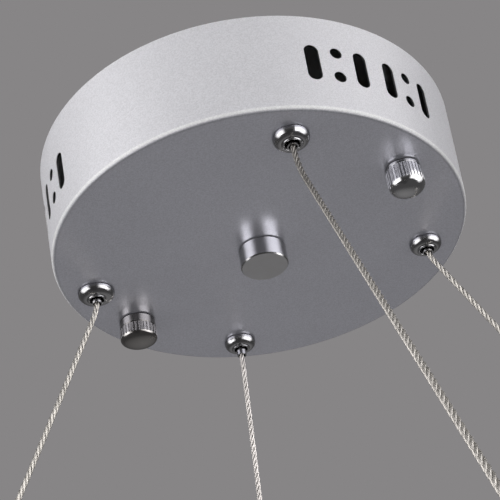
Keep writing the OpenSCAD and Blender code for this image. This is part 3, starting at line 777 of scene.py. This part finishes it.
def even(line: Line, step: float) -> Line:
    """Lays points along a line at even steps.

    Args:
        line: Points of the line.
        step: The distance wanted between points.

    Returns:
        The points, from the line's first to its last.
    """
    lengths = [(b - a).length for a, b in zip(line, line[1:])]
    total = sum(lengths)
    count = max(2, round(total / step))
    made, index, gone = [line[0].copy()], 0, 0.0
    for k in range(1, count):
        want = total * k / count
        while gone + lengths[index] < want:
            gone += lengths[index]
            index += 1
        made.append(line[index].lerp(line[index + 1], (want - gone) / lengths[index]))
    return [*made, line[-1].copy()]


def spots(line: Line, reach: int) -> Iterator[Spot]:
    """A line's points, each with two directions across the line that twist as little as they can.

    Args:
        line: The line's points.
        reach: Which point the line's first direction is measured to.

    Yields:
        The point and its two directions.
    """
    end = len(line) - 1
    first = (line[min(end, reach)] - line[0]).normalized()
    side = first.cross(Vector((0, 0, 1)) if abs(first.z) < 0.9 else Vector((1, 0, 0))).normalized()
    for index, place in enumerate(line):
        ahead = (line[min(index + 1, end)] - line[max(index - 1, 0)]).normalized()
        side = (side - ahead * side.dot(ahead)).normalized()
        yield place, side, ahead.cross(side)


def around(spot: Spot, angle: float, radius: float) -> Vector:
    """The point at an angle and a distance from a line's spot."""
    place, side, up = spot
    return place + (side * math.cos(angle) + up * math.sin(angle)) * radius


@dataclass(frozen=True)
class Strand:
    """A rope's section and lay: strands that touch, in a circle of the rope's diameter."""

    diameter: float = 2.4 * MM
    lay: float = 12.0 * MM
    step: float = 0.5 * MM
    strands: int = 4
    samples: int = 32

    def outline(self, angle: float) -> float:
        """Distance from the rope's middle to its surface.

        Args:
            angle: The angle from the crown of a strand, in radians.

        Returns:
            The distance in metres.
        """
        half = math.pi / self.strands
        strand = self.diameter / 2 / (1 + 1 / math.sin(half))
        middle = strand / math.sin(half)
        off = (angle + half) % (2 * half) - half
        return middle * math.cos(off) + math.sqrt(max(0.0, strand**2 - (middle * math.sin(off)) ** 2))

    def sweep(self, name: str, line: Line, hand: Hand) -> Piece:
        """Sweeps the twisted section along a line.

        Args:
            name: The piece's name.
            line: Points of the middle line, in metres.
            hand: The lay's hand.

        Returns:
            The rope's object, with its strands' map.
        """
        dense, count = even(line, self.step), self.samples
        points: Line = []
        along: list[float] = []
        gone = 0.0
        for index, spot in enumerate(spots(dense, 3)):
            if index:
                gone += (dense[index] - dense[index - 1]).length
            turn = hand.value * 2 * math.pi * gone / self.lay
            for sample in range(count):
                angle = 2 * math.pi * sample / count
                points.append(around(spot, angle + turn, self.outline(angle)))
            along.append(gone)
        made = piece_of(name, points, tube(len(dense), count))
        chart = made.data.uv_layers.new(name=STRANDS)
        for face in made.data.polygons:
            seam = face.index < (len(dense) - 1) * count and face.index % count == count - 1
            for corner in face.loop_indices:
                row, sample = divmod(made.data.loops[corner].vertex_index, count)
                if sample == 0 and seam:
                    sample = count
                chart.data[corner].uv = (along[row] / self.lay, sample * self.strands / count + 0.5)
        return made


@dataclass
class WireRopes:
    """The four ropes: outside runs that end in eyes, and the tails that stand above the grips."""

    reach: Row = (73.8, 73.8, 74.6, 75.5)
    turns: Row = (-43.3, 45.7, 136.2, -155.2)
    out: Row = (5.2, 5.3, 7.8, 6.2)
    rope_turns: Row = (-40.7, 39.7, 128.9, -158.1)
    runs: Row = (224.0, 60.0, 80.0, 104.0)
    bends: Row = (50.0, 20.0, 20.0, 24.0)
    hands: tuple[Hand, ...] = (Hand.RIGHT, Hand.RIGHT, Hand.RIGHT, Hand.LEFT)
    finishes: tuple[RopeWire, ...] = (ROPE_SHADED, ROPE, ROPE_LIT, ROPE)
    lean: float = 27.0
    bend_steps: int = 12
    pan_h: float = 47.0
    tip_depth: float = 3.6
    body_top: float = 20.3
    tail_up: float = 12.0
    ferrule_l: float = 11.0
    ferrule_r: float = 2.6
    ferrule_sides: int = 40
    ferrule_steps: int = 40
    rounded_part: int = 12
    bands: int = 3
    band_depth: float = 0.22
    eye_r: float = 7.0
    eye_steps: int = 60
    eye_gap: float = 28.0
    strand: Strand = Strand()

    def start(self, side: Side) -> Vector:
        """Where a rope leaves its plunger's bore, in millimetres."""
        k = side.value
        return aim(self.turns[k]) * self.reach[k] + Vector((0, 0, self.tip_depth - self.out[k] - self.pan_h))

    def line(self, side: Side) -> Line:
        """A rope's middle line, from its bore to its ferrule.

        Args:
            side: Which rope.

        Returns:
            Points of the line, in metres.
        """
        k, lean = side.value, math.radians(self.lean)
        radius, first, out = self.bends[k], self.start(side), aim(self.rope_turns[k])
        points = []
        for step in range(self.bend_steps + 1):
            a = lean * step / self.bend_steps
            points.append(first + (out * (1 - math.cos(a)) - Vector((0, 0, math.sin(a)))) * radius)
        straight = self.runs[k] - radius * lean
        bend_end, ahead = points[-1], out * math.sin(lean) - Vector((0, 0, math.cos(lean)))
        steps = max(10, round(straight / 4))
        points += [bend_end + ahead * straight * step / steps for step in range(1, steps + 1)]
        return [p * MM for p in points]

    def ferrule(self, side: Side, place: Matrix) -> Piece:
        """Builds the pressed ferrule, with ends that round over a twelfth of it, and pressed bands.

        Args:
            side: Which rope.
            place: The rope's end.

        Returns:
            The ferrule's object.
        """
        length, radius, bore = self.ferrule_l * MM, self.ferrule_r * MM, self.strand.diameter * 0.48
        profile = [(bore, 0.0), (radius * 0.8, 0.0)]
        for step in range(self.ferrule_steps + 1):
            share = step / self.ferrule_steps
            near = min(1.0, min(share, 1 - share) * self.rounded_part)
            rounded = math.sqrt(max(0.0, 1 - (1 - near) ** 2))
            band = 0.5 - 0.5 * math.cos(share * 2 * self.bands * math.pi)
            profile.append((radius * (0.8 + 0.2 * rounded) - self.band_depth * MM * band, -length * share))
        profile += [(radius * 0.8, -length), (bore, -length)]
        count = self.ferrule_sides
        angles = [2 * math.pi * s / count for s in range(count)]
        points = [place @ Vector((r * math.cos(a), r * math.sin(a), z)) for r, z in profile for a in angles]
        made = piece_of(f"rope_ferrule_{side.word}", points, quads(len(profile), count))
        ZINC.dress(made.name)
        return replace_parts(made, "rope_ferrules")

    def eye(self, side: Side, place: Matrix) -> Piece:
        """Builds the eye, a loop of the same rope that comes out of the ferrule and goes back in.

        Args:
            side: Which rope.
            place: The rope's end.

        Returns:
            The eye's object.
        """
        rope_r = self.strand.diameter / 2 / MM
        middle = -(self.ferrule_l + self.eye_r - rope_r)
        line = []
        for step in range(self.eye_steps + 1):
            a = math.radians(self.eye_gap + (360 - 2 * self.eye_gap) * step / self.eye_steps)
            line.append(Vector((math.sin(a) * self.eye_r, 0, middle + math.cos(a) * self.eye_r)))
        first, last = (Vector((x * rope_r, 0, -self.ferrule_l + 0.6)) for x in (1, -1))
        loop = [place @ (p * MM) for p in (first, *line, last)]
        made = self.strand.sweep(f"rope_eye_{side.word}", loop, self.hands[side.value])
        self.finishes[side.value].dress(made.name)
        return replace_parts(made, "rope_eyes")

    def tail(self, side: Side) -> Piece:
        """Builds the spare rope that stands above a grip.

        Args:
            side: Which rope.

        Returns:
            The tail's object.
        """
        low = self.start(side)
        high = Vector((low.x, low.y, self.body_top + self.tail_up - self.pan_h))
        made = self.strand.sweep(f"rope_tail_{side.word}", [high * MM, low * MM], self.hands[side.value])
        self.finishes[side.value].dress(made.name)
        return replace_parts(made, "rope_tails")

    def build(self) -> list[str]:
        """Returns:
            The names of the pieces.
        """
        names = []
        for side in Side:
            line = self.line(side)
            rope = self.strand.sweep(f"wire_rope_{side.word}", line, self.hands[side.value])
            self.finishes[side.value].dress(rope.name)
            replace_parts(rope, f"rope_{side.word}")
            turn = Matrix.Rotation(math.radians(self.rope_turns[side.value]), 4, "Z")
            place = Matrix.Translation(line[-1]) @ turn @ Matrix.Rotation(-math.radians(self.lean), 4, "Y")
            on_it = [self.ferrule(side, place), self.eye(side, place)]
            tail = self.tail(side)
            names += [rope.name, *(p.name for p in on_it), tail.name]
        return names


@dataclass
class Leads:
    """The insulated leads inside the canopy, on the routes that the part's source gives them."""

    diameter: float = 1.8
    step: float = 6.0
    lead_in: float = 4.0
    wall: float = 1.55
    barrel_l: float = 6.0
    barrel_r: float = 1.5
    barrel_at: float = 9.0
    pole_x: Row = (-32.0, -22.0, -12.0)
    block_y: float = -32.0
    block_w: float = 20.0
    pole_z: float = -39.0
    earth_tag: Colour = (0.0, -56.0, -8.0)
    input_x: Row = (-27.419, -18.419)
    driver_away: float = 16.0
    lead_z: float = -35.0
    driver_half: float = 42.019
    output_side: float = 24.0
    tag_low: float = 1.8
    tag_aims: Row = (-75.0, -105.0)
    sides: int = 20

    def input_route(self, k: int) -> Line:
        """Control points of a lead from the terminal block to the driver.

        Args:
            k: 0 for the live lead, 1 for the neutral one.

        Returns:
            The points in millimetres.
        """
        a = Vector((self.pole_x[k], self.block_y + self.block_w / 2, self.pole_z))
        b = Vector((self.input_x[k], self.driver_away, self.lead_z))
        d = Vector((0, 1.3, 0)) * self.step
        sag = Vector((-0.5, 0, -0.3)) * self.step
        return [
            a - Vector((0, self.lead_in, 0)), a, a + d * 0.4, a + d + sag / 3,
            (a + b) / 2 + sag * 1.2 - Vector((0, 0, 0.3)) * self.step, b - d + sag / 2, b - d * 0.4, b,
            b + Vector((0, self.wall, 0)),
        ]

    def earth_route(self) -> Line:
        """Control points of the lead from the terminal block to the earth tag.

        Returns:
            The points in millimetres.
        """
        a = Vector((self.pole_x[2], self.block_y - self.block_w / 2, self.pole_z))
        b = Vector(self.earth_tag)
        y = min(a.y - self.step, b.y + self.step / 3)
        up = b.z - a.z
        return [
            a + Vector((0, self.lead_in, 0)), a, a - Vector((0, self.step, 0)),
            Vector((a.x * 0.75, y, a.z + up * 0.29)), Vector((a.x * 0.2, y, a.z + up * 0.7)),
            b - Vector((0, 0, self.step * 0.7)), b, b + Vector((0, 0, self.barrel_l * 0.6)),
        ]

    def output_route(self, j: int, ropes: WireRopes) -> Line:
        """Control points of a lead from a grip's tag to the driver.

        Args:
            j: 0 for the right grip, 1 for the far one.
            ropes: The ropes, which know where the grips are.

        Returns:
            The points in millimetres.
        """
        k, s = j + 1, 1 if j == 0 else -1
        way, grip = aim(self.tag_aims[j]), aim(ropes.turns[k]) * ropes.reach[k]
        barrel_z = self.tag_low - ropes.pan_h + self.barrel_r
        a = grip + way * (self.barrel_at + self.barrel_l) + Vector((0, 0, barrel_z))
        b = Vector((s * self.driver_half, self.output_side, self.lead_z))
        out = Vector((s * self.step, 0, 0))
        return [
            a - way * self.barrel_l * 0.6, a, a + way * self.step * 0.4,
            a + way * self.step * 0.9 + Vector((0, 0, self.step * 0.1)),
            (a + b) / 2 + out - Vector((0, 0.6, 0.1)) * self.step,
            b + out * 1.1 - Vector((0, 0, self.step * 0.15)), b + out * 0.4,
            b, b - Vector((s * self.wall, 0, 0)),
        ]

    def smooth(self, points: Line, steps: int = 12) -> Line:
        """A smooth line through control points, as the part's source draws it.

        Args:
            points: The control points, in millimetres.
            steps: How many steps go between two of them.

        Returns:
            The line in metres.
        """
        line = []
        last = len(points) - 1
        for k in range(last):
            a, b, c, d = (points[max(0, min(last, k + o))] for o in (-1, 0, 1, 2))
            for step in range(steps):
                t = step / steps
                bend = (a * 2 - b * 5 + c * 4 - d) * t * t + (b * 3 - a - c * 3 + d) * t**3
                line.append((b * 2 + (c - a) * t + bend) / 2)
        return [p * MM for p in (*line, points[-1])]

    def sleeve(self, name: str, route: Line, finish: Moulding, node: str) -> Piece:
        """Args:
            name: The piece's name.
            route: Its control points, in millimetres.
            finish: Its insulation.
            node: The CAD node that it replaces.

        Returns:
            The lead's object.
        """
        line, radius = self.smooth(route), self.diameter / 2 * MM
        angles = [2 * math.pi * s / self.sides for s in range(self.sides)]
        points = [around(spot, a, radius) for spot in spots(line, 1) for a in angles]
        made = piece_of(name, points, tube(len(line), self.sides))
        finish.dress(name)
        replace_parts(made, node)
        return made

    def build(self, ropes: WireRopes) -> list[str]:
        """Builds the five leads.

        Args:
            ropes: The ropes, which know where the grips are.

        Returns:
            The names of the pieces.
        """
        rows = (
            ("live", self.input_route(0), BROWN_SLEEVE, "lead_live"),
            ("neutral", self.input_route(1), BLUE_SLEEVE, "lead_neutral"),
            ("earth", self.earth_route(), EARTH_SLEEVE, "lead_earth"),
            ("output_right", self.output_route(0, ropes), RED_SLEEVE, "output_leads"),
            ("output_far", self.output_route(1, ropes), RED_SLEEVE, "output_leads"),
        )
        return [self.sleeve(f"lead_sleeve_{word}", *row).name for word, *row in rows]


Dressing = dict[Finish, tuple[str, ...]]


class Assembly:
    """A sub-assembly of CAD nodes that keep their shape and get a finish."""

    def finishes(self) -> Dressing:
        """The nodes that each finish goes on."""
        raise NotImplementedError

    def build(self) -> list[str]:
        """Gives each node its finish.

        Returns:
            The names of the nodes.
        """
        dressed = self.finishes()
        for finish, names in dressed.items():
            finish.dress(*names)
        return [name for names in dressed.values() for name in names]


class Canopy(Assembly):
    """The pan, its mounting plate and the screws between them."""

    def finishes(self) -> Dressing:
        """Paint for the pan, and zinc for what carries it."""
        return {
            SILVER_PAINT: ("canopy_pan",),
            ZINC: ("mounting_plate", "stud_screws", "stud_washers", "stud_lock_nuts"),
        }


class Fittings(Assembly):
    """What shows on the underside: the knurled nuts, the centre cap and the rope grips."""

    def finishes(self) -> Dressing:
        """Chrome for what shows, and brass, steel, zinc, rubber and nylon for what holds it; the knob washers
        are dressed black, which gives a dark line at each nut's foot.
        """
        plungers = [f"plunger_{side.word}" for side in Side]
        return {
            NUT_CHROME_RIGHT: ("knurled_nut_right",),
            NUT_CHROME_LEFT_SHADED: ("knurled_nut_left",),
            CAP_CHROME: ("centre_cap",),
            CHROME: ("grip_collars", *plungers),
            # The knob washers are dressed black, which gives the dark line at each nut's foot.
            RUBBER: ("knob_washer_right", "knob_washer_left", "cap_washer", "grip_gaskets"),
            BRASS: ("cap_nipple", "grip_end_plugs"),
            GRIP_BRASS: ("grip_bodies",),
            STEEL: tuple(f"{part}_{side.word}" for part in ("balls", "spring") for side in Side),
            NYLON: ("grip_bushes",),
            ZINC: ("nipple_washer", "nipple_lock_nut", "grip_washers", "grip_ring_tags", "grip_lock_nuts"),
        }


class Electrics(Assembly):
    """The driver, the terminal block and the earth point."""

    def finishes(self) -> Dressing:
        """Plastics for the cases, and what the makers use for the rest."""
        return {
            WHITE_PLASTIC: ("driver_case", "driver_lid", "terminal_block"),
            RUBBER: ("driver_pad", "terminal_pad"),
            BOARD: ("driver_board",),
            TAPE: ("driver_transformer",),
            BLUE_SLEEVE: ("driver_capacitors",),
            GREEN_PLASTIC: ("driver_terminals",),
            BRASS: ("terminal_inserts",),
            ZINC: ("driver_lid_screws", "terminal_screws", "earth_screw", "earth_nut", "earth_tag"),
        }


@dataclass(frozen=True)
class SoftBox:
    """One soft light at the canopy's height, by its azimuth, size and level. Metal doesn't mirror it."""

    name: str
    azimuth: float
    width: float
    tall: float
    level: float
    distance: float = 1.5

    def build(self, target: Vector) -> Piece:
        """Makes the light and points it at the canopy.

        Args:
            target: The point that it faces.

        Returns:
            The light's object.
        """
        data = bpy.data.lights.new(self.name, "AREA")
        data.shape, data.size, data.size_y = "RECTANGLE", self.width, self.tall
        data.energy = self.level * math.pi * self.width * self.tall
        made, away = shown(self.name, data), aim(self.azimuth)
        made.location = target + away * self.distance
        made.rotation_mode = "QUATERNION"
        made.rotation_quaternion = (-away).to_track_quat("-Z", "Y")
        made.visible_glossy = False
        return made


@dataclass(frozen=True)
class Room:
    """What polished metal mirrors: two bright panels, a dark gap, a grey far floor and dim surroundings.

    Angles are in degrees. A panel, and the gap between them, is its azimuth and half its width.
    """

    panels: tuple[tuple[float, float], ...] = ((-121.0, 18.0), (6.0, 29.0))
    panel_rise: float = 36.0
    panel_level: float = 3.6
    gap: tuple[float, float] = (-80.0, 38.0)
    gap_low: float = 0.06
    gap_high: float = 0.17
    soft: float = 30.0
    fade: float = 8.0
    far_turn: float = 122.0
    far_rise: float = -35.0
    far_wide: float = 36.0
    far_level: float = 0.26
    down: float = 0.09
    above: float = 0.12

    def sector(self, sheet: Sheet, direction: Feed, azimuth: float, half: float) -> Socket:
        """A mask of the directions in a range of azimuth.

        Args:
            sheet: The tree that it is drawn in.
            direction: The direction's socket, of length 1.
            azimuth: The range's middle.
            half: Half its width.

        Returns:
            The mask's socket.
        """
        level = sheet.vector("NORMALIZE", sheet.level(direction))
        near = sheet.vector("DOT_PRODUCT", level, aim(azimuth))
        edges = (math.cos(math.radians(half + way * self.soft / 2)) for way in (1, -1))
        return sheet.spread(near, *edges)

    def tone(self, sheet: Sheet, direction: Feed) -> Socket:
        """How bright the room is in a direction.

        Args:
            sheet: The tree that it is drawn in.
            direction: The direction's socket, of length 1.

        Returns:
            The brightness's socket.
        """
        rise = sheet.part(direction, "Z")

        def ramp(low: float, high: float, start: Feed, end: Feed) -> Socket:
            """Runs from start to end between two heights in degrees."""
            return sheet.spread(rise, math.sin(math.radians(low)), math.sin(math.radians(high)), start, end)

        near = sheet.vector("DOT_PRODUCT", direction, aim(self.far_turn, self.far_rise))
        patch = sheet.spread(near, math.cos(math.radians(self.far_wide)), 1.0)
        room = sheet.mix(patch, ramp(-20.0, 10.0, self.down, self.above), self.far_level)
        gap = ramp(-25.0, 10.0, self.gap_low, self.gap_high)
        room = sheet.mix(self.sector(sheet, direction, *self.gap), room, gap)
        lower = ramp(-self.panel_rise - self.fade, -self.panel_rise, 0.0, 1.0)
        upper = ramp(self.panel_rise, self.panel_rise + self.fade, 1.0, 0.0)
        band = sheet.times(lower, upper)
        for panel in self.panels:
            mask = sheet.times(self.sector(sheet, direction, *panel), band)
            room = sheet.mix(mask, room, self.panel_level)
        return room


@dataclass
class Studio:
    """The camera, the soft boxes, the grey surround and the pale floor."""

    lens: float = 90.31
    sensor: float = 36.0
    eye: Colour = (0.235113, -0.377156, -0.357635)
    right: Colour = (0.776123, 0.614414, -0.141874)
    up: Colour = (0.450624, -0.383027, 0.806367)
    ahead: Colour = (-0.441102, 0.689772, 0.574146)
    grey: Colour = (0.2423, 0.2346, 0.2384)
    floor_z: float = -1.6
    floor_half: float = 6.0
    floor_tones: tuple[Colour, Colour] = ((0.62, 0.61, 0.6), (0.66, 0.65, 0.64))
    ambient: float = 0.3
    room: Room = Room()
    target: Colour = (0.0, 0.0, -0.03)
    boxes: tuple[SoftBox, ...] = (
        SoftBox("soft_box_left", -140.0, 1.1, 2.4, 1.2),
        SoftBox("soft_box_right", 10.0, 2.2, 2.4, 0.6),
        SoftBox("fill_front", -72.0, 1.1, 1.6, 1.55),
    )

    def camera(self) -> Piece:
        """Makes the camera at the photograph's place.

        Returns:
            The camera's object.
        """
        data = bpy.data.cameras.new("camera")
        data.sensor_width, data.lens = self.sensor, self.lens
        data.clip_start, data.clip_end = 0.01, 40.0
        made = shown("camera", data)
        columns = (self.right, self.up, tuple(-v for v in self.ahead))
        made.matrix_world = Matrix.Translation(self.eye) @ Matrix(columns).transposed().to_4x4()
        bpy.context.scene.camera = made
        return made

    def surround(self) -> None:
        """Sets the world: a plain grey for the camera, the room for what mirrors it, and a dim soft light."""
        world = bpy.data.worlds.new("studio")
        bpy.context.scene.world = world
        world.use_nodes = True
        sheet = Sheet(world.node_tree)
        path = sheet.add("LightPath").outputs
        tone = self.room.tone(sheet, sheet.add("TexCoord").outputs["Generated"])
        grey, mirrored, light = (
            sheet.add("Background", {"Color": rgba(colour), "Strength": strength}).outputs[0]
            for colour, strength in ((self.grey, 1.0), (ROOM_TINT, tone), ((1.0, 1.0, 1.0), self.ambient))
        )
        seen = sheet.maths("MAXIMUM", path["Is Camera Ray"], path["Is Transmission Ray"])
        mixed = sheet.add("MixShader", {0: seen, 1: light, 2: grey}).outputs[0]
        both = sheet.add("MixShader", {0: path["Is Glossy Ray"], 1: mixed, 2: mirrored}).outputs[0]
        sheet.add("OutputWorld", {"Surface": both})

    def floor(self) -> Piece:
        """Makes the pale floor, far below the canopy, which mirrors as the room does.

        Returns:
            The floor's object.
        """
        s, z = self.floor_half, self.floor_z
        mesh = bpy.data.meshes.new("studio_floor")
        mesh.from_pydata([(-s, -s, z), (s, -s, z), (s, s, z), (-s, s, z)], [], [(0, 1, 2, 3)])
        made = shown("studio_floor", mesh)
        material = bpy.data.materials.new("floor_pale")
        material.use_nodes = True
        sheet = Sheet(material.node_tree)
        blotches = sheet.spread(sheet.noise(sheet.place(), 2.0, 3.0), 0.3, 0.7)
        shade = sheet.tint(blotches, *self.floor_tones)
        shader = sheet.add("BsdfPrincipled", {"Base Color": shade, "Roughness": 0.9})
        place = sheet.add("NewGeometry").outputs["Position"]
        direction = sheet.vector("NORMALIZE", sheet.vector("SUBTRACT", place, self.target))
        glow = sheet.add("Emission", {"Color": rgba(ROOM_TINT), "Strength": self.room.tone(sheet, direction)})
        glossy = sheet.add("LightPath").outputs["Is Glossy Ray"]
        both = sheet.add("MixShader", {0: glossy, 1: shader.outputs[0], 2: glow.outputs[0]})
        sheet.add("OutputMaterial", {"Surface": both.outputs[0]})
        mesh.materials.append(material)
        return made

    def build(self) -> list[str]:
        """Lights the scene and lays the floor.

        Returns:
            The names of what was made.
        """
        self.surround()
        made = [*(box.build(Vector(self.target)) for box in self.boxes), self.floor()]
        bpy.context.scene.view_settings.view_transform = "Standard"
        return [piece.name for piece in made]


def main() -> None:
    """Builds the scene: camera and cords first, then the finishes and the studio."""
    logging.basicConfig(level=logging.INFO, format="%(message)s")
    studio = Studio()
    log.info("camera: %s", studio.camera().name)
    ropes = WireRopes()
    log.info("ropes: %s", ", ".join(ropes.build()))
    log.info("leads: %s", ", ".join(Leads().build(ropes)))
    for part in (Canopy(), Fittings(), Electrics(), studio):
        log.info("%s: %s", type(part).__name__, ", ".join(part.build()))


if __name__ == "__main__":
    main()
